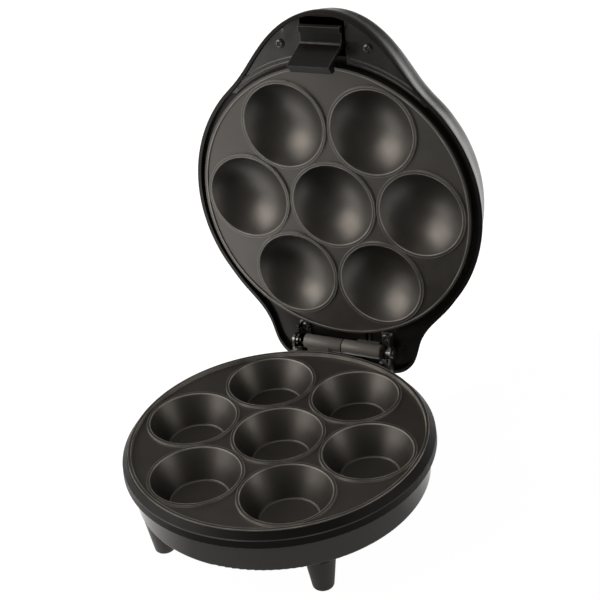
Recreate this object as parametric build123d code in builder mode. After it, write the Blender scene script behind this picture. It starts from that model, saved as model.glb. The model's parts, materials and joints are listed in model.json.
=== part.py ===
"""Seven-cup cupcake maker: a round base with a cupped plate, and a domed lid that stands open behind it.

Millimetres, +Z up. The origin is on the floor under the centre of the base, and the front is -Y.
Lid pieces are drawn as they lie on the closed appliance; lid_plane carries them to the open lid.
"""
import os
from math import cos, pi, radians, sin

from build123d import *

# Baking plates
cup_mouth_radius = 29.5
cup_floor_radius = 19.9
cup_depth = 20.0
cup_floor_fillet = 1.6
dome_depth = 17.0
collar_width = 2.0
collar_height = 1.5
cup_gap = 1.0
outer_cups = 6
plate_margin = 4.1
plate_thickness = 2.0
bead_width = 2.4
bead_rise = 1.1
bead_drop = 0.6
plate_gap = 0.5
plate_inset = 0.8
plate_boss_radius = 4.0
plate_boss_margin = 17.6
boss_angles = (30, 150, 270)

# Base
foot_height = 26.5
under_room = 2.4
wall_thickness = 2.5
wall_bottom_fillet = 1.4
rim_gap = 0.3
rim_width = 4.1
rim_slope_width = 3.7
rim_top_drop = 4.1
rim_drop = 10.0
rim_rise = 0.5
rim_fillet = 0.8
rim_overhang = 5.2
ledge_thickness = 1.5
ledge_gap = 0.7
cover_thickness = 2.0
cover_gap = 0.3
cover_boss_radius = 4.5
cover_boss_height = 14.0
cover_boss_overlap = 0.7
cover_angles = (20, 160, 270)
vent_width = 3.0
vent_length = 34.0
vent_pitch = 9.0
vent_spacing = 54.0
vent_count = 5

# Feet
foot_top_radius = 10.2
foot_tip_radius = 6.8
foot_tip_fillet = 2.0
foot_inset = 10.4
foot_angle = 49.9
rear_foot_angle = 64.0
pad_radius = 4.6
pad_rise = 0.8
pad_seat = 1.6

# Lid shell: rows are (share of side_height, inset of the side, share of the nose, share of the tail)
lid_overhang = 1.9
lid_edge_rise = 4.0
lid_wall = 2.5
lid_recess = 4.0
side_height = 43.7
side_thickness = 1.8
crown_rise = 7.0
crown_step = 0.2
crown_thickness = 2.4
nose_reach = 28.4
nose_half_angle = 42.5
tail_reach = 23.0
tail_half_angle = 26.0
tail_squareness = 8
outline_points = 60
lid_cavity_margin = 10.0
lid_sections = (
    (0.00, 0.0, 1.00, 1.00),
    (0.21, 3.0, 1.07, 0.97),
    (0.51, 6.5, 1.09, 0.72),
    (0.74, 9.6, 1.00, 0.42),
    (0.91, 17.5, 0.70, 0.15),
    (1.00, 30.0, 0.00, 0.00),
)

# Hinge
open_angle = 92.58
hinge_offset = 6.4
hinge_rise = 0.72
hinge_half_span = 36.4
sheet = 1.5
ear_gap = 0.4
ear_radius = 5.5
pin_radius = 2.0
pin_clearance = 0.05
pin_head_radius = 3.2
pin_head_height = 1.3
tab_front = 9.2
lid_tab_width = 8.3
tab_rear = 1.6
tab_drop = 4.2
heel_gap = 0.2
ear_front = 12.0
lug_rear = 1.2
lug_depth = 20.0
root_depth = 10.0
bracket_screw_inset = 3.4
bracket_screw_front = 6.0
lid_screw_front = 9.0
barrel_radius = 5.25
barrel_bore = 2.6
barrel_half_length = 29.6
barrel_split = 0.5
neck_inner = 9.0
neck_width = 17.0
neck_depth = 7.0
neck_drop = 19.0
duct_drop = 15.0

# Latch
latch_width = 29.4
latch_side_gap = 1.1
latch_pivot_inset = 20.2
latch_pivot_rise = 11.0
latch_pin_radius = 1.5
latch_pin_seat = 3.0
latch_eye_radius = 3.3
latch_thickness = 3.2
hook_reach = 4.4
hook_gap = 0.8
hook_lip = 4.9
hook_depth = 9.8
arm_clearance = 1.7
arm_lean = 8.2
ledge_level = 1.2
rib_length = 5.0
rib_drop = 2.6
tongue_thickness = 3.1
tongue_reach = 12.0
pocket_front = 4.7
pocket_rear = 10.0
pocket_step = 5.0
pocket_high = 6.5
spring_length = 6.4
spring_wire = 0.9
spring_gap = 1.2

# Nose panels, screws and lenses
panel_thickness = 2.0
panel_gap = 0.3
panel_inset = 3.6
panel_screw_x = 31.2
panel_screw_front = 6.8
screw_radius = 1.5
screw_head_radius = 3.0
screw_head_height = 1.8
screw_length = 7.0
lens_radius = 4.0
lens_spacing = 22.0
lens_front = 62.0
lens_drop = 3.7
lens_height = 5.5
lens_fillet = 0.8
lamp_length = 12.0
lamp_radius = 3.0

# Electrical pieces
element_radius = 3.25
element_arc = 318.0
element_seat = 4.0
element_seat_width = 10.0
element_leg = 11.0
shield_thickness = 0.8
shield_gap = 2.5
shield_margin = 4.0
shield_clearance = 0.5
thermostat_radius = 8.0
thermostat_height = 9.0
thermostat_stem = 3.0
fuse_radius = 2.5
fuse_length = 14.0
fuse_angle = 210.0
block_length = 20.0
block_width = 12.0
block_height = 11.0
gland_radius = 5.0
gland_flange_radius = 6.5
gland_flange = 2.0
gland_length = 6.0
gland_bore = 3.3
gland_drop = 22.0
wire_radius = 1.6
wire_bend = 5.0
part_gap = 0.1

# Sizes worked out from the ones above
collar_radius = cup_mouth_radius + collar_width
cup_pitch = 2 * collar_radius + cup_gap
plate_radius = cup_pitch + collar_radius + plate_margin
shield_level = cup_depth + plate_thickness + shield_gap
shield_back = shield_level + shield_thickness
base_depth = shield_back + screw_head_height + under_room + cover_thickness
rim_height = foot_height + base_depth
rim_inner_radius = plate_radius + rim_gap
rim_radius = rim_inner_radius + rim_width
wall_radius = rim_radius - rim_overhang
wall_inner = wall_radius - wall_thickness
web_level = -collar_height
web_under = web_level - plate_thickness
housing_top = web_under - ledge_thickness
ledge_radius = cup_pitch + cup_mouth_radius + plate_thickness + ledge_gap
cover_under = -base_depth
cover_top = cover_under + cover_thickness
cover_radius = wall_inner - cover_gap
cover_boss_circle = wall_inner - cover_boss_radius + cover_boss_overlap
plate_boss_circle = plate_radius - plate_boss_margin
lower_shield_radius = cover_boss_circle - cover_boss_radius - shield_clearance
upper_radius = plate_radius - plate_inset
upper_web = plate_gap + collar_height
recess_level = lid_edge_rise + lid_recess
lid_shoulder = lid_edge_rise + side_height
lid_top = lid_shoulder + crown_rise
lid_radius = rim_radius + lid_overhang
crown_radius = lid_radius - lid_sections[-1][1] - crown_step
lid_cavity_radius = rim_radius - lid_cavity_margin
upper_shield_radius = lid_cavity_radius - shield_margin
hinge_y = rim_radius + hinge_offset
base_ear = hinge_half_span + ear_gap / 2
lid_ear = hinge_half_span - ear_gap / 2 - sheet
tab_width = base_ear - barrel_half_length - ear_gap
bracket_screw_x = base_ear - bracket_screw_inset
lid_screw_x = lid_ear - screw_head_radius - ear_gap
root_y = wall_inner - root_depth
neck_rear = hinge_y + lug_rear
neck_front = rim_radius + part_gap
neck_middle = -(neck_inner + neck_width / 2)
duct_y = (neck_front + neck_rear) / 2
tab_level = hinge_rise - tab_drop
nose_tip = lid_radius + nose_reach
pivot_y = -(nose_tip - latch_pivot_inset)
pocket_half_width = latch_width / 2 + latch_side_gap
dome_radius = (cup_mouth_radius**2 + dome_depth**2) / (2 * dome_depth)
dome_centre = plate_gap + dome_depth - dome_radius

# Frames: rim_plane holds the rims of the lower cups, and lid_plane is the same plane carried by the open lid
rim_plane = Plane.XY.offset(rim_height)
hinge_point = (0, hinge_y, rim_height + hinge_rise)
lid_place = (
    Location(hinge_point)
    * Location((0, 0, 0), (-open_angle, 0, 0))
    * Location((0, -hinge_y, -hinge_rise))
)
lid_plane = Plane(lid_place)


def polar(radius, angles):
    """Points on a circle at the given angles in degrees."""
    return [(radius * cos(radians(a)), radius * sin(radians(a))) for a in angles]


cup_spots = [(0, 0)] + polar(cup_pitch, [360 / outer_cups * i for i in range(outer_cups)])
boss_spots = polar(plate_boss_circle, boss_angles)
foot_angles = {
    "front_right_foot": -foot_angle,
    "front_left_foot": foot_angle - 180,
    "rear_right_foot": rear_foot_angle,
    "rear_left_foot": 180 - rear_foot_angle,
}
foot_spots = {name: polar(wall_radius - foot_inset, [a])[0] for name, a in foot_angles.items()}


def keep(piece, label):
    """Label a finished piece and write it to its own file."""
    piece.label = label
    export_step(piece, f"parts/{label}.step")


def at(plane, x=0.0, y=0.0, h=0.0, turn=0.0):
    """A copy of a frame, moved within itself and turned about its own Z."""
    return Plane(Location(plane) * Location((x, y, h), (0, 0, turn)))


def upright(plane, x=0.0):
    """A frame's YZ plane at x: sketch X runs along the frame's Y, and sketch Y along its Z."""
    return Plane(Location(plane) * Location((x, 0, 0)) * Plane.YZ.location)


def section(plane):
    """A frame's XZ plane, in which round pieces are drawn as radius and height."""
    return Plane(Location(plane) * Plane.XZ.location)


def spin(plane):
    """A frame's own Z axis."""
    return Axis(plane.origin, plane.z_dir)


def point(plane, x, y, h):
    """A point given in a frame."""
    return (Location(plane) * Location((x, y, h))).position


def discs(plane, level, spots, radius, height, mode=Mode.ADD):
    """Round bosses or holes that start at a level of a frame."""
    with BuildSketch(plane.offset(level)) as rounds:
        with Locations(*spots):
            Circle(radius)
    extrude(rounds.sketch, amount=height, mode=mode)


def bar(plane, x_low, x_high, outline, mode=Mode.ADD):
    """A prism across a frame: an outline of (y, h) points drawn out from x_low to x_high."""
    with BuildSketch(upright(plane, x_low)) as profile:
        with BuildLine():
            Polyline(*outline, close=True)
        make_face()
    extrude(profile.sketch, amount=x_high - x_low, mode=mode)


def rod(plane, x_low, x_high, y, h, radius, mode=Mode.ADD):
    """A round bar across a frame."""
    with BuildSketch(upright(plane, x_low)) as profile:
        with Locations((y, h)):
            Circle(radius)
    extrude(profile.sketch, amount=x_high - x_low, mode=mode)


def bore_inward(x, y, h, radius, depth):
    """A round hole that runs from a point of the base towards its front."""
    with BuildSketch(Plane(point(rim_plane, x, y, h), x_dir=(1, 0, 0), z_dir=(0, -1, 0))) as hole:
        Circle(radius)
    extrude(hole.sketch, amount=depth, mode=Mode.SUBTRACT)


def screws(plane, level, spots, way):
    """Pan-head screws with heads against a level of a frame and shanks running up (+1) or down (-1)."""
    with BuildPart() as screw_set:
        discs(plane, level, spots, screw_radius, way * screw_length)
        discs(plane, level, spots, screw_head_radius, -way * screw_head_height)
    return screw_set.part


def wire(points):
    """An insulated wire along straight runs joined by arcs."""
    with BuildPart() as loom:
        with BuildLine():
            path = FilletPolyline(*points, radius=wire_bend)
        with BuildSketch(Plane(path @ 0, z_dir=path % 0)):
            Circle(wire_radius)
        sweep(path=path)
    return loom.part


def plate_web(plane, side, web, radius, edge_low, edge_high):
    """A plate without its hollows, which lie on -side: web, bead, collars, bosses and element seat."""
    back = web - side * plate_thickness
    with BuildPart() as blank:
        discs(plane, web, [(0, 0)], radius, -side * plate_thickness)
        with BuildSketch(plane.offset(edge_low)):
            Circle(radius)
            Circle(radius - bead_width, mode=Mode.SUBTRACT)
        extrude(amount=edge_high - edge_low)
        discs(plane, web, cup_spots, collar_radius, side * collar_height)
        discs(plane, back, boss_spots, plate_boss_radius, -side * (shield_level - abs(back)))
        discs(plane, -side * shield_level, boss_spots, screw_radius + part_gap,
              side * screw_length, Mode.SUBTRACT)
        with BuildSketch(section(plane)):
            with Locations((cup_pitch / 2, back - side * element_seat / 2)):
                Rectangle(element_seat_width, element_seat)
            with Locations((cup_pitch / 2, back - side * element_seat)):
                Circle(element_radius + part_gap, mode=Mode.SUBTRACT)
        revolve(axis=spin(plane))
    return blank.part


def heating_element(plane, side, web):
    """A tubular element bent to an open ring in its seat, with two legs turned away from the plate."""
    level = web - side * (plate_thickness + element_seat)
    half_opening = (360 - element_arc) / 2
    legs = polar(cup_pitch / 2, [90 - half_opening, 90 + half_opening])
    with BuildPart() as element:
        with BuildSketch(section(at(plane, turn=90 + half_opening))):
            with Locations((cup_pitch / 2, level)):
                Circle(element_radius)
        revolve(axis=spin(plane), revolution_arc=element_arc)
        discs(plane, level, legs, element_radius, -side * element_leg)
        with Locations(*[Location(point(plane, x, y, level)) for x, y in legs]):
            Sphere(element_radius)
    return element.part


def heat_shield(plane, side, radius):
    """A thin reflector screwed to the plate's bosses, notched behind for wires and controls."""
    with BuildPart() as shield:
        with BuildSketch(plane.offset(-side * shield_level)):
            Circle(radius)
            with Locations(*boss_spots):
                Circle(screw_radius + part_gap, mode=Mode.SUBTRACT)
            with Locations((0, radius)):
                Rectangle(2 * block_length, 2 * (radius - cup_pitch), mode=Mode.SUBTRACT)
        extrude(amount=-side * shield_thickness)
    return shield.part


def lid_outline(inset, nose, tail):
    """Points of the lid's plan: a circle with a rounded nose in front and a squarer tail behind."""
    points = []
    for i in range(outline_points):
        angle = 360 / outline_points * i
        off_nose = abs((angle - 270 + 180) % 360 - 180)
        off_tail = abs((angle - 90 + 180) % 360 - 180)
        reach = lid_radius - inset
        if off_nose < nose_half_angle:
            reach += nose * cos(pi / 2 * off_nose / nose_half_angle) ** 2
        if off_tail < 2 * tail_half_angle:
            square = (lid_radius + tail) / cos(radians(off_tail)) - lid_radius
            square *= tail / tail_reach
            reach += square / (1 + (off_tail / tail_half_angle) ** tail_squareness)
        points.append((reach * cos(radians(angle)), reach * sin(radians(angle))))
    return points


def lid_face(level, inset, nose=1.0, tail=1.0):
    """A sketch of the lid's plan at a level, drawn in by inset."""
    with BuildSketch(lid_plane.offset(level)) as face:
        with BuildLine():
            Spline(*lid_outline(inset, nose * nose_reach, tail * tail_reach), periodic=True)
        make_face()
    return face


os.makedirs("parts", exist_ok=True)

# Lower baking plate: seven tapered cups with raised collars
with BuildPart() as lower_plate:
    add(plate_web(rim_plane, 1, web_level, plate_radius, web_under, bead_rise))
    for x, y in cup_spots:
        with BuildSketch(section(at(rim_plane, x, y))):
            with BuildLine():
                Polyline(
                    (0, 0),
                    (cup_mouth_radius + plate_thickness, 0),
                    (cup_floor_radius + plate_thickness, -cup_depth - plate_thickness),
                    (0, -cup_depth - plate_thickness),
                    close=True,
                )
            make_face()
        revolve(axis=spin(at(rim_plane, x, y)))
    for x, y in cup_spots:
        with BuildSketch(section(at(rim_plane, x, y))) as hollow:
            with BuildLine():
                Polyline(
                    (0, 0),
                    (cup_mouth_radius, 0),
                    (cup_floor_radius, -cup_depth),
                    (0, -cup_depth),
                    close=True,
                )
            make_face()
            fillet(hollow.vertices().group_by(Axis.Y)[0].sort_by(Axis.X)[-1], cup_floor_fillet)
        revolve(axis=spin(at(rim_plane, x, y)), mode=Mode.SUBTRACT)
keep(lower_plate.part, "lower_baking_plate")

# Upper baking plate: the same web upside down, with spherical domes
with BuildPart() as upper_plate:
    add(plate_web(lid_plane, -1, upper_web, upper_radius, upper_web - bead_drop, recess_level))
    for x, y in cup_spots:
        with BuildSketch(section(at(lid_plane, x, y))):
            with Locations((0, dome_centre)):
                Circle(dome_radius + plate_thickness)
            with Locations((0, upper_web)):
                Rectangle(
                    2 * dome_radius, 2 * dome_radius, align=(Align.MIN, Align.MIN), mode=Mode.INTERSECT
                )
        revolve(axis=spin(at(lid_plane, x, y)))
    for x, y in cup_spots:
        with BuildSketch(section(at(lid_plane, x, y))):
            with Locations((0, dome_centre)):
                Circle(dome_radius)
            with Locations((0, plate_gap)):
                Rectangle(
                    2 * dome_radius, 2 * dome_radius, align=(Align.MIN, Align.MIN), mode=Mode.INTERSECT
                )
        revolve(axis=spin(at(lid_plane, x, y)), mode=Mode.SUBTRACT)
keep(upper_plate.part, "upper_baking_plate")

# Heating elements and heat shields
keep(heating_element(rim_plane, 1, web_level), "lower_heating_element")
keep(heating_element(lid_plane, -1, upper_web), "upper_heating_element")
keep(heat_shield(rim_plane, 1, lower_shield_radius), "lower_heat_shield")
keep(heat_shield(lid_plane, -1, upper_shield_radius), "upper_heat_shield")
keep(screws(rim_plane, -shield_back, boss_spots, 1), "lower_shield_screws")
keep(screws(lid_plane, shield_back, boss_spots, -1), "upper_shield_screws")

# Base rim: the sloped ring round the lower plate, whose underside is the latch's catch
with BuildPart() as base_rim:
    with BuildSketch(section(rim_plane)) as ring:
        with BuildLine():
            Polyline(
                (ledge_radius, housing_top),
                (ledge_radius, web_under),
                (rim_inner_radius, web_under),
                (rim_inner_radius, rim_rise),
                (rim_inner_radius + rim_slope_width, -rim_top_drop),
                (rim_radius, -rim_drop),
                (wall_radius + part_gap, -rim_drop),
                (wall_radius + part_gap, housing_top),
                close=True,
            )
        make_face()
        fillet(ring.vertices().sort_by(Axis.X)[-2:], rim_fillet)
    revolve(axis=spin(rim_plane))
keep(base_rim.part, "base_rim")

# Base housing: the round wall with two hinge lugs behind, cover bosses inside and a hole for the cord gland
lug_top = tab_level - sheet
lug_spots = [(s * bracket_screw_x, hinge_y - bracket_screw_front) for s in (-1, 1)]
cover_spots = polar(cover_boss_circle, cover_angles)
with BuildPart() as housing:
    for side in (-1, 1):
        edges = sorted((side * base_ear, side * (base_ear - tab_width)))
        lug = [
            (root_y, lug_top),
            (neck_rear, lug_top),
            (neck_rear, lug_top - lug_depth / 3),
            (root_y, lug_top - lug_depth),
        ]
        bar(rim_plane, *edges, lug)
    discs(rim_plane, -rim_drop - part_gap, [(0, 0)], rim_radius + part_gap, rim_drop, Mode.SUBTRACT)
    discs(rim_plane, cover_under, [(0, 0)], wall_inner, base_depth, Mode.SUBTRACT)
    with BuildSketch(rim_plane.offset(cover_under)):
        Circle(wall_radius)
        Circle(wall_inner, mode=Mode.SUBTRACT)
    extrude(amount=housing_top - cover_under)
    bottom_edges = housing.edges().filter_by(GeomType.CIRCLE).group_by(Axis.Z)[0]
    fillet(bottom_edges.sort_by(SortBy.RADIUS)[-1], wall_bottom_fillet)
    discs(rim_plane, cover_top, cover_spots, cover_boss_radius, cover_boss_height)
    discs(rim_plane, cover_top, cover_spots, screw_radius + part_gap, screw_length + part_gap, Mode.SUBTRACT)
    discs(rim_plane, lug_top, lug_spots, screw_radius + part_gap, -screw_length, Mode.SUBTRACT)
    bore_inward(0, wall_radius + wall_thickness, -gland_drop, gland_radius + part_gap, 3 * wall_thickness)
    bore_inward(neck_middle, duct_y, -duct_drop, barrel_bore, duct_y - root_y)
keep(housing.part, "base_housing")

# Bottom cover with vent slots
with BuildPart() as cover:
    with BuildSketch(rim_plane.offset(cover_under)):
        Circle(cover_radius)
        with Locations(*cover_spots, *foot_spots.values()):
            Circle(screw_radius + part_gap, mode=Mode.SUBTRACT)
        with GridLocations(vent_spacing, vent_pitch, 2, vent_count):
            SlotOverall(vent_length, vent_width, mode=Mode.SUBTRACT)
    extrude(amount=cover_thickness)
keep(cover.part, "bottom_cover")
keep(screws(rim_plane, cover_under, cover_spots, 1), "bottom_cover_screws")

# Feet: tapered legs with rubber pads, screwed on through the bottom cover
for name, (x, y) in foot_spots.items():
    spot = at(Plane.XY, x, y)
    with BuildPart() as foot:
        with BuildSketch(section(spot)) as leg:
            with BuildLine():
                Polyline(
                    (0, pad_rise),
                    (foot_tip_radius, pad_rise),
                    (foot_top_radius, foot_height),
                    (0, foot_height),
                    close=True,
                )
            make_face()
            fillet(leg.vertices().group_by(Axis.Y)[0].sort_by(Axis.X)[-1], foot_tip_fillet)
        revolve(axis=spin(spot))
        discs(spot, pad_rise, [(0, 0)], pad_radius + part_gap, pad_seat, Mode.SUBTRACT)
        discs(spot, foot_height, [(0, 0)], screw_radius + part_gap, -screw_length, Mode.SUBTRACT)
    keep(foot.part, name)
with BuildPart() as pads:
    discs(Plane.XY, 0, foot_spots.values(), pad_radius, pad_rise + pad_seat)
keep(pads.part, "foot_pads")
keep(screws(rim_plane, cover_top, foot_spots.values(), -1), "foot_screws")

# Thermostat, thermal fuse, terminal block and the gland for the cord
thermostat_y = plate_boss_circle
with BuildPart() as thermostat:
    discs(rim_plane, web_under, [(0, thermostat_y)], thermostat_radius, -thermostat_height)
    discs(rim_plane, web_under, [(0, thermostat_y)], thermostat_radius / 2,
          -thermostat_height - thermostat_stem)
keep(thermostat.part, "thermostat")
fuse_spot = polar(plate_boss_circle, [fuse_angle])[0]
with BuildPart() as fuse:
    rod(at(rim_plane, *fuse_spot, turn=fuse_angle + 90), -fuse_length / 2, fuse_length / 2,
        0, web_under - fuse_radius, fuse_radius)
keep(fuse.part, "thermal_fuse")
block_y = thermostat_y - block_width / 4
with BuildPart() as block:
    with BuildSketch(rim_plane.offset(cover_top)):
        with Locations((0, block_y)):
            Rectangle(block_length, block_width)
    extrude(amount=block_height)
    with BuildSketch(rim_plane.offset(cover_top + block_height)):
        with Locations((0, block_y)):
            with GridLocations(block_length / 3, 1, 3, 1):
                Circle(screw_radius)
    extrude(amount=-block_height / 2, mode=Mode.SUBTRACT)
keep(block.part, "terminal_block")
gland_plane = Plane(point(rim_plane, 0, wall_radius, -gland_drop), x_dir=(1, 0, 0), z_dir=(0, 1, 0))
with BuildPart() as gland:
    with BuildSketch(gland_plane):
        Circle(gland_flange_radius)
    extrude(amount=gland_flange)
    with BuildSketch(gland_plane):
        Circle(gland_radius)
    extrude(amount=-gland_length)
    with BuildSketch(gland_plane.offset(gland_flange)):
        Circle(gland_bore)
    extrude(amount=-gland_flange - gland_length, mode=Mode.SUBTRACT)
keep(gland.part, "cord_gland")

# Hinge barrel halves: the left stands on the base, the right hangs on the lid, and wires run through both
with BuildPart() as base_barrel:
    neck = [
        (neck_rear, hinge_rise),
        (neck_rear, -neck_drop),
        (root_y, -gland_drop - neck_depth),
        (root_y, -rim_drop - part_gap),
        (neck_front, -rim_drop - part_gap),
        (neck_front, hinge_rise),
    ]
    bar(rim_plane, neck_middle - neck_width / 2, neck_middle + neck_width / 2, neck)
    discs(rim_plane, cover_under, [(0, 0)], wall_radius, base_depth, Mode.SUBTRACT)
    rod(rim_plane, -barrel_half_length, -barrel_split / 2, hinge_y, hinge_rise, barrel_radius)
    rod(rim_plane, -barrel_half_length, 0, hinge_y, hinge_rise, barrel_bore, Mode.SUBTRACT)
    discs(rim_plane, hinge_rise, [(neck_middle, duct_y)], barrel_bore,
          -hinge_rise - duct_drop - barrel_bore, Mode.SUBTRACT)
    bore_inward(neck_middle, duct_y, -duct_drop, barrel_bore, duct_y - root_y)
keep(base_barrel.part, "wire_barrel_base")
with BuildPart() as lid_barrel:
    neck = [
        (hinge_y - neck_depth / 2, hinge_rise),
        (hinge_y + neck_depth / 2, hinge_rise),
        (hinge_y + neck_depth / 2, recess_level),
        (hinge_y - neck_depth / 2, recess_level),
    ]
    bar(lid_plane, neck_inner, neck_inner + neck_width, neck)
    rod(lid_plane, barrel_split / 2, barrel_half_length, hinge_y, hinge_rise, barrel_radius)
    rod(lid_plane, 0, barrel_half_length, hinge_y, hinge_rise, barrel_bore, Mode.SUBTRACT)
    discs(lid_plane, hinge_rise, [(-neck_middle, hinge_y)], barrel_bore, recess_level, Mode.SUBTRACT)
keep(lid_barrel.part, "wire_barrel_lid")

# Hinge brackets: pressed steel tabs with upright ears on one pin each side
lid_screw_spots = [(s * lid_screw_x, hinge_y - lid_screw_front) for s in (-1, 1)]
tab_under = recess_level - sheet
for name, side in (("left", -1), ("right", 1)):
    outer = sorted((side * base_ear, side * (base_ear + sheet)))
    inner = sorted((side * lid_ear, side * (lid_ear + sheet)))
    across = sorted((side * (base_ear - tab_width), side * (base_ear + sheet)))
    lid_across = sorted((side * (lid_ear + sheet - lid_tab_width), side * (lid_ear + sheet)))
    with BuildPart() as base_bracket:
        bar(rim_plane, *across, [
            (hinge_y - tab_front, tab_level - sheet),
            (hinge_y + tab_rear, tab_level - sheet),
            (hinge_y + tab_rear, tab_level),
            (hinge_y - tab_front, tab_level),
        ])
        bar(rim_plane, *outer, [
            (hinge_y - ear_radius, tab_level - lug_depth / 2),
            (hinge_y + lug_rear, tab_level - lug_depth / 2),
            (hinge_y + ear_radius, tab_level - sheet),
            (hinge_y + ear_radius, hinge_rise),
            (hinge_y - ear_radius, hinge_rise),
        ])
        rod(rim_plane, *outer, hinge_y, hinge_rise, ear_radius)
        rod(rim_plane, *outer, hinge_y, hinge_rise, pin_radius, Mode.SUBTRACT)
        discs(rim_plane, tab_level - sheet, [(side * bracket_screw_x, hinge_y - bracket_screw_front)],
              screw_radius + part_gap, sheet, Mode.SUBTRACT)
        discs(rim_plane, -rim_drop, [(0, 0)], rim_radius + part_gap, rim_drop + rim_rise, Mode.SUBTRACT)
    keep(base_bracket.part, f"base_hinge_bracket_{name}")
    with BuildPart() as lid_bracket:
        heel = tab_drop - heel_gap
        bar(lid_plane, *lid_across, [
            (hinge_y - ear_front - sheet, tab_under),
            (hinge_y - sheet, tab_under),
            (hinge_y - sheet, recess_level),
            (hinge_y - ear_front - sheet, recess_level),
        ])
        bar(lid_plane, *inner, [
            (hinge_y - ear_front, hinge_rise),
            (hinge_y + heel, hinge_rise),
            (hinge_y + heel, recess_level),
            (hinge_y - ear_front, recess_level),
        ])
        rod(lid_plane, *inner, hinge_y, hinge_rise, heel)
        rod(lid_plane, *inner, hinge_y, hinge_rise, pin_radius + pin_clearance, Mode.SUBTRACT)
        discs(lid_plane, tab_under, [(side * lid_screw_x, hinge_y - lid_screw_front)],
              screw_radius + part_gap, sheet, Mode.SUBTRACT)
    keep(lid_bracket.part, f"lid_hinge_bracket_{name}")
    with BuildPart() as pin:
        shank = sorted((side * (lid_ear - sheet), side * (base_ear + sheet)))
        head = sorted((side * (base_ear + sheet), side * (base_ear + sheet + pin_head_height)))
        rod(rim_plane, *shank, hinge_y, hinge_rise, pin_radius)
        rod(rim_plane, *head, hinge_y, hinge_rise, pin_head_radius)
    keep(pin.part, f"hinge_pin_{name}")
keep(screws(rim_plane, tab_level, lug_spots, -1), "base_bracket_screws")
keep(screws(lid_plane, tab_under, lid_screw_spots, 1), "lid_bracket_screws")

# Lid shell: a hollow lofted crown whose floor takes the plate, the panels and the latch's cheeks
panel_screw_spots = [(s * panel_screw_x, -(rim_radius + panel_screw_front)) for s in (-1, 1)]
lens_spots = [(s * lens_spacing / 2, -lens_front) for s in (-1, 1)]
cavity = [
    lid_face(lid_edge_rise + share * side_height - crown_thickness, inset + side_thickness, nose, tail)
    for share, inset, nose, tail in lid_sections[1:]
]
crown_under = lid_shoulder - crown_thickness
with BuildPart() as lid_shell:
    loft([lid_face(lid_edge_rise + s * side_height, i, n, t).sketch for s, i, n, t in lid_sections])
    with BuildSketch(section(lid_plane)):
        with BuildLine():
            edge = (crown_radius, lid_shoulder)
            ThreePointArc(edge, (0, lid_top), (-crown_radius, lid_shoulder))
            Polyline((-crown_radius, lid_shoulder), (-crown_radius, lid_shoulder - crown_step),
                     (crown_radius, lid_shoulder - crown_step), edge)
        make_face()
        with Locations((0, lid_shoulder - crown_step)):
            Rectangle(crown_radius, 2 * crown_rise, align=(Align.MIN, Align.MIN), mode=Mode.INTERSECT)
    revolve(axis=spin(lid_plane))
    extrude(lid_face(lid_edge_rise, lid_wall).sketch, amount=lid_recess, mode=Mode.SUBTRACT)
    loft([face.sketch for face in cavity], mode=Mode.SUBTRACT)
    with BuildSketch(section(lid_plane)):
        with BuildLine():
            Polyline(
                (0, crown_under - crown_step),
                (crown_radius - side_thickness, crown_under - crown_step),
                (0, lid_top - crown_thickness),
                close=True,
            )
        make_face()
    revolve(axis=spin(lid_plane), mode=Mode.SUBTRACT)
    discs(lid_plane, recess_level, [(0, 0)], lid_cavity_radius, 2 * crown_thickness, Mode.SUBTRACT)
    for side in (-1, 1):
        cheek = sorted((side * pocket_half_width, side * (pocket_half_width + latch_pin_seat)))
        bar(lid_plane, *cheek, [
            (pivot_y - pocket_step, recess_level),
            (pivot_y - pocket_step, recess_level + pocket_high),
            (pivot_y + pocket_step, recess_level + pocket_high),
            (pivot_y + pocket_step, recess_level),
        ])
    bar(lid_plane, -pocket_half_width, pocket_half_width, [
        (-(nose_tip - pocket_front), recess_level),
        (-(nose_tip - pocket_front), recess_level + pocket_high),
        (pivot_y + pocket_rear, recess_level + pocket_high),
        (pivot_y + pocket_rear, recess_level),
    ], Mode.SUBTRACT)
    pin_half = pocket_half_width + latch_pin_seat
    rod(lid_plane, -pin_half, pin_half, pivot_y, latch_pivot_rise, latch_pin_radius, Mode.SUBTRACT)
    bar(lid_plane, -neck_middle - barrel_bore, -neck_middle + barrel_bore, [
        (root_y, recess_level),
        (hinge_y + barrel_bore, recess_level),
        (hinge_y + barrel_bore, recess_level + 2 * barrel_bore),
        (root_y, recess_level + 2 * barrel_bore),
    ], Mode.SUBTRACT)
    holes = panel_screw_spots + lid_screw_spots
    discs(lid_plane, recess_level, holes, screw_radius + part_gap, screw_length, Mode.SUBTRACT)
    lens_hole = lens_drop + lens_height + crown_thickness
    discs(lid_plane, lid_top, lens_spots, lens_radius + part_gap, -lens_hole, Mode.SUBTRACT)
keep(lid_shell.part, "lid_shell")

# Nose panels either side of the latch
panel_under = recess_level - panel_thickness
panel_back = -(rim_radius - panel_inset) * cos(radians(nose_half_angle))
beyond = 2 * nose_tip
for name, side in (("left", -1), ("right", 1)):
    with BuildPart() as panel:
        extrude(lid_face(panel_under, lid_wall + panel_gap).sketch, amount=panel_thickness)
        discs(lid_plane, panel_under, [(0, 0)], rim_radius - panel_inset, panel_thickness, Mode.SUBTRACT)
        half = sorted((side * pocket_half_width, -side * beyond))
        bar(lid_plane, *half, [
            (-beyond, 0), (beyond, 0), (beyond, beyond), (-beyond, beyond)
        ], Mode.SUBTRACT)
        bar(lid_plane, -beyond, beyond, [
            (panel_back, 0), (beyond, 0), (beyond, beyond), (panel_back, beyond)
        ], Mode.SUBTRACT)
        discs(lid_plane, panel_under, panel_screw_spots, screw_radius + part_gap,
              panel_thickness, Mode.SUBTRACT)
    keep(panel.part, f"nose_panel_{name}")
keep(screws(lid_plane, panel_under, panel_screw_spots, 1), "nose_panel_screws")

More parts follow.
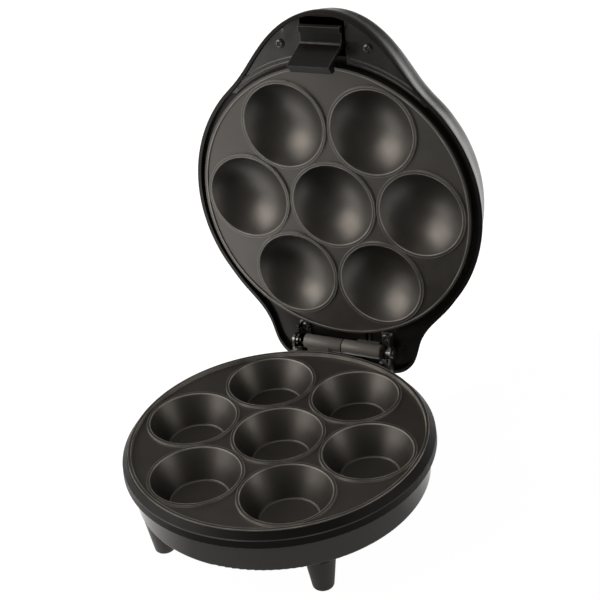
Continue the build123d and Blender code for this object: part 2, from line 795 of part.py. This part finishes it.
# Latch: an arm on a cross pin, with a hook that catches under the base rim and a ribbed finger tongue
catch = -rim_drop - hook_gap
hook_tip = -(rim_radius - hook_reach)
hook_base = catch - hook_depth
arm_back = -(rim_radius + arm_clearance)
arm_front = arm_back - latch_thickness
arm_top = arm_front - arm_lean * (ledge_level - catch) / (ledge_level - hook_base)
hook_front = arm_front + arm_lean * hook_depth / (ledge_level - hook_base)
tongue_front = pivot_y - tongue_reach
rib_back = tongue_front + rib_length
tongue_under = ledge_level + rib_drop / 2
tongue_top = tongue_under + tongue_thickness
eye_back = pivot_y + latch_eye_radius
with BuildPart() as latch:
    bar(lid_plane, -latch_width / 2, latch_width / 2, [
        (hook_front, hook_base),
        (hook_tip, catch - hook_lip),
        (hook_tip, catch),
        (arm_back, catch),
        (arm_top + latch_thickness, ledge_level),
        (eye_back, latch_pivot_rise),
        (pivot_y - latch_eye_radius, latch_pivot_rise),
        (pivot_y - latch_eye_radius, tongue_top),
        (tongue_front + bead_rise, tongue_top),
        (tongue_front, tongue_under),
        (tongue_front + bead_rise, tongue_under - rib_drop),
        (rib_back, tongue_under - rib_drop),
        (rib_back, tongue_under),
        (arm_top - bead_rise, tongue_under),
        (arm_top - bead_rise, ledge_level),
        (arm_top, ledge_level),
    ])
    rod(lid_plane, -latch_width / 2, latch_width / 2, pivot_y, latch_pivot_rise, latch_eye_radius)
    rod(lid_plane, -latch_width / 2, latch_width / 2, pivot_y, latch_pivot_rise,
        latch_pin_radius + pin_clearance, Mode.SUBTRACT)
    gap_half = spring_length / 2 + spring_gap
    bar(lid_plane, -gap_half, gap_half, [
        (pivot_y - 2 * latch_eye_radius, tongue_top),
        (pivot_y + 2 * latch_eye_radius, tongue_top),
        (pivot_y + 2 * latch_eye_radius, latch_pivot_rise + 2 * latch_eye_radius),
        (pivot_y - 2 * latch_eye_radius, latch_pivot_rise + 2 * latch_eye_radius),
    ], Mode.SUBTRACT)
keep(latch.part, "latch")
with BuildPart() as latch_pin:
    rod(lid_plane, -pin_half, pin_half, pivot_y, latch_pivot_rise, latch_pin_radius)
keep(latch_pin.part, "latch_pin")
spring_bore = latch_pin_radius + part_gap
with BuildPart() as latch_spring:
    coil = (-spring_length / 2, spring_length / 2, pivot_y, latch_pivot_rise)
    rod(lid_plane, *coil, spring_bore + spring_wire)
    rod(lid_plane, *coil, spring_bore, Mode.SUBTRACT)
keep(latch_spring.part, "latch_spring")

# Indicator lenses and lamps in the crown
lens_under = lid_top - lens_drop - lens_height
for name, spot in zip(("power", "ready"), lens_spots):
    with BuildPart() as lens:
        discs(lid_plane, lens_under, [spot], lens_radius, lens_height)
        fillet(lens.edges().sort_by(spin(lid_plane))[-1], lens_fillet)
    keep(lens.part, f"{name}_lens")
    with BuildPart() as lamp:
        discs(lid_plane, lens_under, [spot], lamp_radius, -lamp_length)
    keep(lamp.part, f"{name}_lamp")

# Wires from the terminal block through the hinge barrel into the lid
block_middle = cover_top + block_height / 2
keep(wire([
    point(rim_plane, -block_length / 2, block_y, block_middle),
    point(rim_plane, neck_middle, block_y, block_middle),
    point(rim_plane, neck_middle, block_y - duct_drop - block_middle, -duct_drop),
    point(rim_plane, neck_middle, duct_y, -duct_drop),
    point(rim_plane, neck_middle, duct_y, -barrel_bore),
]), "base_wiring")
keep(wire([
    point(lid_plane, -neck_middle, hinge_y, hinge_rise + barrel_bore),
    point(lid_plane, -neck_middle, hinge_y, recess_level + barrel_bore),
    point(lid_plane, -neck_middle, lid_cavity_radius - 2 * wire_bend, recess_level + barrel_bore),
    point(lid_plane, -neck_middle, cup_pitch, shield_back + 2 * wire_bend),
    point(lid_plane, -neck_middle, cup_pitch / 2, shield_back + 2 * wire_bend),
]), "lid_wiring")
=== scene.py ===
"""Looks of the seven-cup cupcake maker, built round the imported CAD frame.

Metres, +Z up, front at -Y.
"""
import json
from math import cos, radians, sin

import bmesh
import bpy
from mathutils import Matrix, Vector


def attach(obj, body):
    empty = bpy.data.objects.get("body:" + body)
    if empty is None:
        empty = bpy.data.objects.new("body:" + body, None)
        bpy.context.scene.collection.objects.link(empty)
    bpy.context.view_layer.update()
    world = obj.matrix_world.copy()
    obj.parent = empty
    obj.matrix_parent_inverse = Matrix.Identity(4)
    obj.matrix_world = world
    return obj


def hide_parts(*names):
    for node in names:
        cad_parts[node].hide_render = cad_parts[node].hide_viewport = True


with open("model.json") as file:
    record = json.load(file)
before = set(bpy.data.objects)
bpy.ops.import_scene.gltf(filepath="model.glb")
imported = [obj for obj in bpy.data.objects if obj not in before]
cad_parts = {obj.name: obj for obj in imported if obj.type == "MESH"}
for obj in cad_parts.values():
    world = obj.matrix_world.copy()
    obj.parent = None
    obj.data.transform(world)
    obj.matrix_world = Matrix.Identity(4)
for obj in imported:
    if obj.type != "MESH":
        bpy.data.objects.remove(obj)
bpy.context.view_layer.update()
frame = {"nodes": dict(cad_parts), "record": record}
nodes = frame["nodes"]
scene = bpy.context.scene
scene.view_settings.view_transform = "Standard"

# Camera, as worked out from the photograph
IMAGE_SIZE = 600
FOCAL_PIXELS = 1354.4
SENSOR = 36.0
CAMERA_AZIMUTH = radians(27.979)
CAMERA_ELEVATION = radians(29.638)
CAMERA_ROLL = radians(-6.724)
CAMERA_PLACE = Vector((0.3653, -0.6350, 0.5730))
NEAREST_SEEN, FARTHEST_SEEN = 0.01, 50

# The open lid's turn from closed, and its hinge, whose rise is its height over the parting plane
LID_TURN = radians(92.58)
LID_HINGE = Vector((0, .1104, .05872))
LID_HINGE_RISE = .00072

# After LID_TURN, what brings a point of the open lid to its place on the closed appliance
LID_SHIFT = Vector((0, LID_HINGE.y, LID_HINGE_RISE))
LID_SHIFT -= Matrix.Rotation(LID_TURN, 3, "X") @ LID_HINGE

# Cup axes in plan: one in the middle and six round it
CUP_PITCH = .064
CUP_SPOTS = [(0, 0)]
CUP_SPOTS += [
    (CUP_PITCH * cos(radians(a)), CUP_PITCH * sin(radians(a))) for a in range(0, 360, 60)]

# Painted shade in the lower cups: heights between which their colour is darkened, and the share of
# it that is left
CUP_SHADE = .0575, .05
CUP_DARKEST = .3

# Painted highlight lines along edges, with their strengths: radii round a cup and round the plate,
# and heights on the base
MOUTH_RINGS = ((.0295, .85), (.0315, .55))
FLOOR_RINGS = ((.0193, .3),)
BEAD_RINGS = ((.0972, .75), (.0993, .75))
RIM_EDGES = ((.0541, .3), (.0483, .22))
WALL_EDGES = ((.0274, .35),)

# Distances from a painted highlight line at which it begins to fade, and is gone
LINE_FADE = .0001, .0005

# Painted highlight along the lines, in place of light caught by the edges: its colour, the scale
# of its patches, and its share where they are faint
PLATE_PAINTED_HIGHLIGHT = (.6, .57, .53, 1), 60, .35
EDGE_PAINTED_HIGHLIGHT = (.5, .47, .43, 1), 25, .3

# Reach of the facet shading round the poles of the cups and of the lid's crown
CUP_POLE = .0025
CROWN_POLE = .016

# Sockets of a mix node for vectors: share, first and second, and result
MIX_VECTOR_INPUTS = 0, 4, 5
MIX_VECTOR_OUTPUT = 1

# Colours of lenses and lamps, and the share of them that is left where they are darkest
LENSES = {
    "red_lens": (.6, .02, .012),
    "green_lens": (.02, .42, .05),
    "lamp_glass": (.9, .85, .75),
}
LENS_DARKEST = .8

# How many gloss patches a coating has for each patch of colour, along a line
GLOSS_PATCHES = 4

# Finishes that set single nodes apart from others of their slot
FINISHES = {
    "base_housing": "wall_plastic",
    "base_rim": "rim_plastic",
    "latch": "latch_plastic",
    "lower_baking_plate": "lower_plate",
    "nose_panel_left": "panel_plastic",
    "nose_panel_right": "panel_plastic",
    "upper_baking_plate": "upper_plate",
    "wire_barrel_base": "satin_grey_plastic",
    "wire_barrel_lid": "satin_grey_plastic",
}

# Widths of broken edges
EDGE_BREAKS = {
    "latch": .0004,
    "nose_panel_left": .0002,
    "nose_panel_right": .0002,
    "wire_barrel_base": .0002,
    "wire_barrel_lid": .0002,
}
WELD_REACH = .000005
SHARP_EDGE = radians(50)
BREAK_SEGMENTS = 2

# Screws that get cross recesses: their node, its body, and the way that their heads face
HEAD_OUT = Vector((0, -sin(LID_TURN), -cos(LID_TURN)))
SCREWS = (
    ("nose_panel_screws", "lid", HEAD_OUT),
    ("lid_bracket_screws", "lid", HEAD_OUT),
    ("base_bracket_screws", "base", Vector((0, 0, 1))),
    ("bottom_cover_screws", "base", Vector((0, 0, -1))),
)

# Farthest that a point of a screw is from the screw's first, and the sizes of its shank and head
SCREW_REACH = .012
SHANK_RADIUS = .0015
HEAD_RADIUS = .003
HEAD_HEIGHT = .0018

# Mesh of a head, whose rings crowd towards its edge, and turns of the first recess and each next
HEAD_SIDES, HEAD_RINGS = 48, 14
RING_POWER = 1.2
FIRST_TURN, NEXT_TURN = .35, 1.1

# Shares of the head's height: its domed part, and the recess's depth
HEAD_DOME = .55
RECESS_DEPTH = .6

# Shares of the head's radius: the arms' half width and half length, and the slopes at their walls
RECESS_HALF_WIDTH, RECESS_WALL = .2, .07
RECESS_HALF_LENGTH, RECESS_END = .62, .12

# Ribs on the nose panels: radii, foot's height, section, and degrees from the lid's middle line
RIB_RADII = {"inner": .1021, "outer": .1049}
RIB_FOOT = .0061
RIB_HALF_WIDTH, RIB_HEIGHT = .0007, .0008
RIB_START, RIB_SPAN = 10, 30.5
RIB_STEPS, RIB_FACETS = 24, 8
RIB_TAPER_STEPS, RIB_END_SHARE = 2, .15

# World light at the horizon and overhead, and the heights between which it fades
WORLD_LOW, WORLD_HIGH = 0.13, 0.1
WORLD_FADE = 0.0, 0.45
WORLD_COLOUR = (1, .97, .93, 1)
WHITE = (1, 1, 1, 1)

# Share of the floor that glows to the camera, and how brightly; the rest keeps the shadow
FLOOR_SEEN = 0.92
FLOOR_GLOW = 1.07
FLOOR_SIZE = 12
FLOOR_COLOUR = (.62, .62, .62, 1)
FLOOR_ROUGHNESS = 0.8

# Floor in reflections: a measure, its direction or centre, its span, and brightness at both ends
FLOOR_FADES = (
    ("DOT_PRODUCT", (.8, -.6, 0), (-.085, .09), (1.25, .08)),
    ("DOT_PRODUCT", (.3, .95, 0), (-.02, .13), (0, 1)),
    ("DISTANCE", (0, 0, 0), (.17, .225), (.36, 0)),
)

# Lights: name, place, target, width, height and watts
LIGHTS = (
    ("key_left", (-1.6, -1.0, 1.1), (0, 0, .15), 2.1, 1.5, 29),
    ("fill_right", (1.7, 0.2, 0.6), (0, 0, .12), .8, .9, 4),
    ("top", (-0.3, 0.4, 1.8), (0, 0, .1), 1.0, 1.0, 2.5),
)
LIGHT_COLOUR = (1, .96, .91)


def make_camera():
    """A camera at the photograph's place, direction and roll."""
    az, el = CAMERA_AZIMUTH, CAMERA_ELEVATION
    back = Vector((sin(az) * cos(el), -cos(az) * cos(el), sin(el)))
    level = Vector((cos(az), sin(az), 0))
    rise = back.cross(level)
    right = cos(CAMERA_ROLL) * level + sin(CAMERA_ROLL) * rise
    up = cos(CAMERA_ROLL) * rise - sin(CAMERA_ROLL) * level
    data = bpy.data.cameras.new("camera")
    data.sensor_width = SENSOR
    data.lens = FOCAL_PIXELS / IMAGE_SIZE * SENSOR
    data.clip_start, data.clip_end = NEAREST_SEEN, FARTHEST_SEEN
    camera = bpy.data.objects.new("camera", data)
    scene.collection.objects.link(camera)
    turn = Matrix((right, up, back)).transposed().to_4x4()
    camera.matrix_world = Matrix.Translation(CAMERA_PLACE) @ turn
    scene.camera = camera


# Nodes


def new_material(name):
    """A node material, its tree and its Principled shader."""
    material = bpy.data.materials.new(name)
    material.use_nodes = True
    tree = material.node_tree
    return material, tree, tree.nodes["Principled BSDF"]


def object_place(tree):
    """Coordinates on the object, to hang detail on."""
    return tree.nodes.new("ShaderNodeTexCoord").outputs["Object"]


def feed(tree, socket, value):
    """Link a socket to another one, or set its value."""
    if isinstance(value, bpy.types.NodeSocket):
        tree.links.new(value, socket)
    else:
        socket.default_value = value


def noise(tree, place, scale, detail=3.0):
    """A noise texture over the object, with scale in features per metre."""
    node = tree.nodes.new("ShaderNodeTexNoise")
    node.inputs["Scale"].default_value = scale
    node.inputs["Detail"].default_value = detail
    tree.links.new(place, node.inputs["Vector"])
    return node.outputs["Fac"]


def ramp(tree, fac, low, high, start=0.3, end=0.7):
    """A two-colour ramp, given as greys or colours."""
    node = tree.nodes.new("ShaderNodeValToRGB")
    tree.links.new(fac, node.inputs["Fac"])
    for stop, at, colour in zip(node.color_ramp.elements, (start, end), (low, high)):
        stop.position = at
        stop.color = (*(colour if hasattr(colour, "__len__") else 3 * (colour,)), 1)
    return node.outputs["Color"]


def math_node(tree, operation, *values):
    """A math node on links or numbers."""
    node = tree.nodes.new("ShaderNodeMath")
    node.operation = operation
    for socket, value in zip(node.inputs, values):
        feed(tree, socket, value)
    return node.outputs[0]


def vector_node(tree, operation, place, aim):
    """The outputs of a vector math node on a link and a fixed vector."""
    node = tree.nodes.new("ShaderNodeVectorMath")
    node.operation = operation
    tree.links.new(place, node.inputs[0])
    node.inputs[1].default_value = aim
    return node.outputs


def map_range(tree, value, span, results, easing="SMOOTHSTEP"):
    """A number that goes from one result to another as a value crosses a span."""
    node = tree.nodes.new("ShaderNodeMapRange")
    node.interpolation_type = easing
    for socket, number in zip(node.inputs, (value, *span, *results)):
        feed(tree, socket, number)
    return node.outputs[0]


def height_of(tree, place):
    """The Z of a place."""
    split = tree.nodes.new("ShaderNodeSeparateXYZ")
    tree.links.new(place, split.inputs[0])
    return split.outputs["Z"]


def bump(tree, shader, height, strength, distance=0.0001):
    """Fine relief on a shader."""
    node = tree.nodes.new("ShaderNodeBump")
    node.inputs["Strength"].default_value = strength
    node.inputs["Distance"].default_value = distance
    tree.links.new(height, node.inputs["Height"])
    tree.links.new(node.outputs["Normal"], shader.inputs["Normal"])


def mix_colour(tree, shader, blend, share, colour):
    """Blend a colour over a shader's own, with share and colour given as links or values."""
    mix = tree.nodes.new("ShaderNodeMixRGB")
    mix.blend_type = blend
    own = shader.inputs["Base Color"].links[0].from_socket
    for socket, value in zip(mix.inputs, (share, own, colour)):
        feed(tree, socket, value)
    tree.links.new(mix.outputs[0], shader.inputs["Base Color"])


# Materials


def coated(name, dark, pale, rough, grain_scale, grain, blotch_scale=18.0, **numbers):
    """A surface whose colour drifts slowly between two tones, with uneven gloss and a fine grain.

    Further keywords set the shader's own numbers.
    """
    sockets = {
        "index": "IOR",
        "metallic": "Metallic",
        "specular": "Specular IOR Level",
        "tint": "Specular Tint",
        "transmission": "Transmission Weight",
    }
    material, tree, shader = new_material(name)
    place = object_place(tree)
    colour = ramp(tree, noise(tree, place, blotch_scale), dark, pale)
    gloss = ramp(tree, noise(tree, place, GLOSS_PATCHES * blotch_scale), *rough)
    tree.links.new(colour, shader.inputs["Base Color"])
    tree.links.new(gloss, shader.inputs["Roughness"])
    bump(tree, shader, noise(tree, place, grain_scale, 2.0), grain)
    for word, number in numbers.items():
        shader.inputs[sockets[word]].default_value = number
    return material


def plan_reaches(tree, place, shift, turn, spots):
    """A point's height on the closed appliance, and its distances in plan from upright axes there.

    turn and shift bring the point there from its place on the open appliance.
    """
    closed = tree.nodes.new("ShaderNodeMapping")
    closed.inputs["Location"].default_value = shift
    closed.inputs["Rotation"].default_value = (turn, 0, 0)
    tree.links.new(place, closed.inputs["Vector"])
    plan = vector_node(tree, "MULTIPLY", closed.outputs[0], (1, 1, 0))["Vector"]
    reaches = [vector_node(tree, "DISTANCE", plan, (x, y, 0))["Value"] for x, y in spots]
    return height_of(tree, closed.outputs[0]), reaches


def pale_lines(tree, measure, levels):
    """How strongly a highlight is painted along thin lines where a measure has given levels."""
    lines = 0.0
    for level, strength in levels:
        gap = math_node(tree, "ABSOLUTE", math_node(tree, "SUBTRACT", measure, level))
        line = map_range(tree, gap, LINE_FADE, (strength, 0))
        lines = math_node(tree, "MAXIMUM", lines, line)
    return lines


def paint_highlight(tree, shader, place, lines, colour, patch_scale, faint):
    """Lay a pale colour on a shader along lines as a painted highlight, broken into stronger and
    fainter patches.
    """
    patches = ramp(tree, noise(tree, place, patch_scale), faint, 1)
    share = math_node(tree, "MULTIPLY", lines, patches)
    mix_colour(tree, shader, "MIX", share, colour)


def flat_poles(tree, reach, radius):
    """Shade the millimetres round an axis by the facets, as mesh normals run together there."""
    shape = tree.nodes.new("ShaderNodeNewGeometry")
    pick = tree.nodes.new("ShaderNodeMix")
    pick.data_type = "VECTOR"
    share, smooth, flat = (pick.inputs[i] for i in MIX_VECTOR_INPUTS)
    tree.links.new(math_node(tree, "LESS_THAN", reach, radius), share)
    tree.links.new(shape.outputs["Normal"], smooth)
    tree.links.new(shape.outputs["True Normal"], flat)
    grain = next(node for node in tree.nodes if node.type == "BUMP")
    tree.links.new(pick.outputs[MIX_VECTOR_OUTPUT], grain.inputs["Normal"])


def lid_plastic():
    """The lid shell's semi-gloss."""
    material = coated(
        "gloss_black", (.0085, .0078, .007), (.012, .011, .01), (.27, .34), 1400, .02,
        tint=(1, .95, .89, 1))
    tree = material.node_tree
    reaches = plan_reaches(tree, object_place(tree), LID_SHIFT, LID_TURN, [(0, 0)])[1]
    flat_poles(tree, reaches[0], CROWN_POLE)
    return material


def edged_plastic(levels, *tones, **numbers):
    """A coated plastic with painted highlights along edges at given heights."""
    material = coated(*tones, **numbers)
    tree = material.node_tree
    place = object_place(tree)
    lines = pale_lines(tree, height_of(tree, place), levels)
    paint_highlight(tree, tree.nodes["Principled BSDF"], place, lines, *EDGE_PAINTED_HIGHLIGHT)
    return material


def baking_plate(name, cup_rings, shift, turn, cup_shade=None):
    """A dark non-stick coating, with painted highlights along rings round the cups and along the
    plate's bead.

    turn and shift bring the plate to the closed appliance, where the cups are upright.
    cup_shade gives the heights between which painted shade darkens their colour.
    """
    material = coated(
        name, (.012, .0108, .0096), (.017, .0152, .0134), (.4, .47), 2400, .14,
        tint=(1, .94, .87, 1), specular=1.0, index=1.7)
    tree = material.node_tree
    shader = tree.nodes["Principled BSDF"]
    place = object_place(tree)
    height, reaches = plan_reaches(tree, place, shift, turn, CUP_SPOTS)
    nearest = reaches[0]
    for reach in reaches[1:]:
        nearest = math_node(tree, "MINIMUM", nearest, reach)
    # Painted shade: the colour darkens down into the lower cups
    if cup_shade:
        shade = map_range(tree, height, cup_shade, (1, CUP_DARKEST), "LINEAR")
        mix_colour(tree, shader, "MULTIPLY", 1, shade)
    rings = pale_lines(tree, nearest, cup_rings)
    bead = pale_lines(tree, reaches[0], BEAD_RINGS)
    paint_highlight(tree, shader, place, math_node(tree, "MAXIMUM", rings, bead), *PLATE_PAINTED_HIGHLIGHT)
    flat_poles(tree, nearest, CUP_POLE)
    return material


def make_materials():
    """One material for each slot of the record, and the finishes that set single nodes apart."""
    lower = baking_plate("lower_nonstick", MOUTH_RINGS + FLOOR_RINGS, (0, 0, 0), 0, CUP_SHADE)
    made = {
        "gloss_black_plastic": lid_plastic(),
        "wall_plastic": edged_plastic(
            WALL_EDGES,
            "gloss_wall", (.026, .024, .0214), (.034, .0314, .0281), (.09, .14), 1100, .03,
            tint=(1, .95, .89, 1), specular=0.85),
        "satin_black_plastic": coated(
            "satin_black", (.025, .0228, .0204), (.033, .0302, .0271), (.34, .44), 2600, .12,
            tint=(1, .94, .88, 1), specular=0.65),
        "satin_grey_plastic": coated(
            "satin_grey", (.15, .14, .129), (.195, .184, .17), (.36, .46), 2600, .12),
        "panel_plastic": coated(
            "panel", (.02, .0182, .0162), (.03, .0275, .0245), (.17, .24), 1800, .04,
            specular=1.0, index=1.65),
        "latch_plastic": coated(
            "latch", (.0078, .0073, .0066), (.011, .0104, .0095), (.28, .34), 2600, .04,
            specular=0.4),
        "rim_plastic": edged_plastic(
            RIM_EDGES,
            "rim", (.0085, .0078, .007), (.012, .011, .0098), (.46, .55), 2600, .1,
            specular=0.22),
        # A paler plastic for the broken edges, as a painted highlight
        "plastic_edge": coated(
            "plastic_edge", (.05, .048, .045), (.09, .087, .083), (.2, .3), 1500, .05,
            blotch_scale=40.0),
        "nonstick_plate": lower,
        "lower_plate": lower,
        "upper_plate": baking_plate("upper_nonstick", MOUTH_RINGS, LID_SHIFT, LID_TURN),
        "element_steel": coated(
            "element", (.12, .11, .1), (.2, .18, .16), (.35, .5), 1200, .1, metallic=1),
        "shield_aluminium": coated("shield", .6, .72, (.25, .35), 900, .06, metallic=1),
        "bracket_steel": coated(
            "bracket", (.27, .262, .25), (.36, .35, .335), (.24, .34), 1500, .08, metallic=1),
        "bright_steel": coated(
            "steel", (.1, .098, .095), (.16, .157, .152), (.3, .4), 1500, .08, metallic=1),
        "rubber": coated("rubber", .012, .018, (.7, .85), 1800, .2),
        "control_plastic": coated(
            "ceramic", (.7, .68, .63), (.76, .74, .7), (.25, .35), 1200, .05),
        "terminal_plastic": coated(
            "terminal", (.72, .7, .64), (.78, .76, .7), (.4, .5), 1500, .08),
        "wire_insulation": coated("wire", .012, .02, (.55, .7), 3000, .3),
    }
    for slot, colour in LENSES.items():
        darker = [LENS_DARKEST * c for c in colour]
        made[slot] = coated(slot, darker, colour, (.08, .14), 700, .03, transmission=0.2)
    return made


def dress(materials):
    """Give every CAD node its own finish, or else its slot's material."""
    for sub in frame["record"]["subparts"]:
        node = nodes[sub["node"]]
        node.data.materials.clear()
        node.data.materials.append(materials[FINISHES.get(sub["node"], sub["material_slot"])])


def break_edges(highlight_finish):
    """Break sharp edges of CAD nodes to catch the light, and give the breaks a paler finish as a
    painted highlight.
    """
    for name, width in EDGE_BREAKS.items():
        node = nodes[name]
        weld = node.modifiers.new("weld", "WELD")
        weld.merge_threshold = WELD_REACH
        bevel = node.modifiers.new("edges", "BEVEL")
        bevel.width, bevel.segments = width, BREAK_SEGMENTS
        bevel.limit_method, bevel.angle_limit = "ANGLE", SHARP_EDGE
        bevel.harden_normals = True
        bevel.use_clamp_overlap = False
        node.data.materials.append(highlight_finish)
        bevel.material = 1


# Detail on top of the CAD pieces


def on_lid(x, y, rise):
    """The place, on the open lid, of a point of the closed lid, rise over the parting plane."""
    y, rise = y - LID_HINGE.y, rise - LID_HINGE_RISE
    c, s = cos(LID_TURN), sin(LID_TURN)
    return LID_HINGE + Vector((x, y * c + rise * s, rise * c - y * s))


def new_piece(name, mesh, body, material):
    """An object from a bmesh, smooth shaded, that rides on a body."""
    data = bpy.data.meshes.new(name)
    mesh.to_mesh(data)
    mesh.free()
    for face in data.polygons:
        face.use_smooth = True
    data.materials.append(material)
    piece = bpy.data.objects.new(name, data)
    scene.collection.objects.link(piece)
    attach(piece, body)
    return piece


def cross_recess(x, y):
    """Depth share of a cross recess at a point of the head, given in shares of its radius."""
    near, far = sorted((abs(x), abs(y)))
    side = min(max((RECESS_HALF_WIDTH - near) / RECESS_WALL, 0), 1)
    end = min(max((RECESS_HALF_LENGTH - far) / RECESS_END, 0), 1)
    return side * end


def add_screw(mesh, foot, top, turn):
    """A pan-head screw with a cross recess, from the end of its shank to the top of its head."""
    length = (top - foot).length
    along = (top - foot).normalized()
    side = along.orthogonal().normalized()
    other = along.cross(side)
    shoulder = length - HEAD_HEIGHT
    rows = [
        (SHANK_RADIUS, 0),
        (SHANK_RADIUS, shoulder),
        (HEAD_RADIUS, shoulder),
        (HEAD_RADIUS, shoulder + (1 - HEAD_DOME) * HEAD_HEIGHT),
    ]
    steps = [(i / HEAD_RINGS) ** RING_POWER for i in range(1, HEAD_RINGS)]
    rows += [(HEAD_RADIUS * (1 - step), None) for step in steps]
    loops = []
    for radius, height in rows:
        loop = []
        for k in range(HEAD_SIDES):
            angle = radians(360 * k / HEAD_SIDES)
            level = height
            if level is None:
                share = radius / HEAD_RADIUS
                dip = cross_recess(share * cos(angle - turn), share * sin(angle - turn))
                level = length - HEAD_HEIGHT * (HEAD_DOME * share ** 3 + RECESS_DEPTH * dip)
            out = radius * cos(angle) * side + radius * sin(angle) * other
            loop.append(mesh.verts.new(foot + out + along * level))
        loops.append(loop)
    for low, high in zip(loops, loops[1:]):
        for k in range(HEAD_SIDES):
            after = (k + 1) % HEAD_SIDES
            mesh.faces.new((low[k], low[after], high[after], high[k]))
    mesh.faces.new(list(reversed(loops[0])))
    mesh.faces.new(loops[-1])


def recess_screws(name, body, out, material):
    """Replace a node of plain screws by cross-head ones in their places, heads towards out."""
    groups = []
    for vertex in nodes[name].data.vertices:
        for group in groups:
            if (vertex.co - group[0]).length < SCREW_REACH:
                group.append(vertex.co.copy())
                break
        else:
            groups.append([vertex.co.copy()])
    mesh = bmesh.new()
    for i, group in enumerate(groups):
        heights = [co.dot(out) for co in group]
        middle = Vector([(max(axis) + min(axis)) / 2 for axis in zip(*group)])
        middle -= out * middle.dot(out)
        foot, top = middle + out * min(heights), middle + out * max(heights)
        add_screw(mesh, foot, top, FIRST_TURN + NEXT_TURN * i)
    piece = new_piece(name + "_detail", mesh, body, material)
    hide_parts(name)


def rib_section(mesh, sign, radius, step):
    """One half-round section of a rib, which is lower towards its ends."""
    angle = sign * radians(RIB_START + RIB_SPAN * step / RIB_STEPS)
    taper = min(1, step / RIB_TAPER_STEPS, (RIB_STEPS - step) / RIB_TAPER_STEPS)
    height = RIB_HEIGHT * max(RIB_END_SHARE, taper)
    section = []
    for k in range(RIB_FACETS + 1):
        turn = radians(180 * k / RIB_FACETS)
        reach = radius + RIB_HALF_WIDTH * cos(turn)
        place = on_lid(reach * sin(angle), -reach * cos(angle), RIB_FOOT - height * sin(turn))
        section.append(mesh.verts.new(place))
    return section


def nose_ribs(material):
    """Low ribs on the nose panels that follow the plate's edge."""
    for side, sign in (("left", -1), ("right", 1)):
        for row, radius in RIB_RADII.items():
            mesh = bmesh.new()
            loops = [rib_section(mesh, sign, radius, i) for i in range(RIB_STEPS + 1)]
            for low, high in zip(loops, loops[1:]):
                for k in range(RIB_FACETS):
                    mesh.faces.new((low[k], low[k + 1], high[k + 1], high[k]))
                mesh.faces.new((low[-1], low[0], high[0], high[-1]))
            mesh.faces.new(loops[0])
            mesh.faces.new(list(reversed(loops[-1])))
            bmesh.ops.recalc_face_normals(mesh, faces=mesh.faces[:])
            new_piece(f"nose_rib_{side}_{row}", mesh, "lid", material)


# Stage


def floor_gleam(tree):
    """How bright the floor is in reflections: white at left and back right, pale close by."""
    place = object_place(tree)
    gleam = 0.0
    for operation, aim, span, brightness in FLOOR_FADES:
        measure = vector_node(tree, operation, place, aim)["Value"]
        gleam = math_node(tree, "MAXIMUM", gleam, map_range(tree, measure, span, brightness))
    return gleam


def make_floor():
    """A floor that is white to the camera, gleams in reflections and keeps the object's shadow."""
    bpy.ops.mesh.primitive_plane_add(size=FLOOR_SIZE)
    floor = bpy.context.object
    floor.name = "floor"
    material, tree, shader = new_material("floor")
    shader.inputs["Base Color"].default_value = FLOOR_COLOUR
    shader.inputs["Roughness"].default_value = FLOOR_ROUGHNESS
    path = tree.nodes.new("ShaderNodeLightPath").outputs
    direct = path["Is Camera Ray"]
    bounced = math_node(tree, "MAXIMUM", path["Is Glossy Ray"], path["Is Transmission Ray"])
    seen = math_node(tree, "MULTIPLY", direct, FLOOR_SEEN)
    glow = math_node(tree, "MULTIPLY", direct, FLOOR_GLOW)
    glowing = tree.nodes.new("ShaderNodeEmission")
    strength = math_node(tree, "MAXIMUM", glow, floor_gleam(tree))
    tree.links.new(strength, glowing.inputs["Strength"])
    mix = tree.nodes.new("ShaderNodeMixShader")
    tree.links.new(math_node(tree, "MAXIMUM", seen, bounced), mix.inputs[0])
    tree.links.new(shader.outputs[0], mix.inputs[1])
    tree.links.new(glowing.outputs[0], mix.inputs[2])
    tree.links.new(mix.outputs[0], tree.nodes["Material Output"].inputs["Surface"])
    floor.data.materials.append(material)


def make_world():
    """A dim studio that is plain white to the camera."""
    world = bpy.data.worlds.new("studio")
    scene.world = world
    world.use_nodes = True
    tree = world.node_tree
    height = height_of(tree, tree.nodes.new("ShaderNodeTexCoord").outputs["Generated"])
    studio = tree.nodes["Background"]
    studio.inputs["Color"].default_value = WORLD_COLOUR
    strength = map_range(tree, height, WORLD_FADE, (WORLD_LOW, WORLD_HIGH))
    tree.links.new(strength, studio.inputs["Strength"])
    white = tree.nodes.new("ShaderNodeBackground")
    white.inputs["Color"].default_value = WHITE
    path = tree.nodes.new("ShaderNodeLightPath")
    mix = tree.nodes.new("ShaderNodeMixShader")
    tree.links.new(path.outputs["Is Camera Ray"], mix.inputs[0])
    tree.links.new(studio.outputs[0], mix.inputs[1])
    tree.links.new(white.outputs[0], mix.inputs[2])
    tree.links.new(mix.outputs[0], tree.nodes["World Output"].inputs["Surface"])


def softbox(name, place, target, width, height, watts):
    """A rectangular area light aimed at a point."""
    data = bpy.data.lights.new(name, "AREA")
    data.shape = "RECTANGLE"
    data.size, data.size_y, data.energy = width, height, watts
    data.color = LIGHT_COLOUR
    light = bpy.data.objects.new(name, data)
    scene.collection.objects.link(light)
    light.location = place
    aim = Vector(target) - Vector(place)
    light.rotation_euler = aim.to_track_quat("-Z", "Y").to_euler()


make_camera()
materials = make_materials()
dress(materials)
break_edges(materials["plastic_edge"])
for screws in SCREWS:
    recess_screws(*screws, materials["bright_steel"])
# The ribs take the pale grey plastic as a painted highlight on them
nose_ribs(materials["satin_grey_plastic"])
make_floor()
make_world()
for light in LIGHTS:
    softbox(*light)
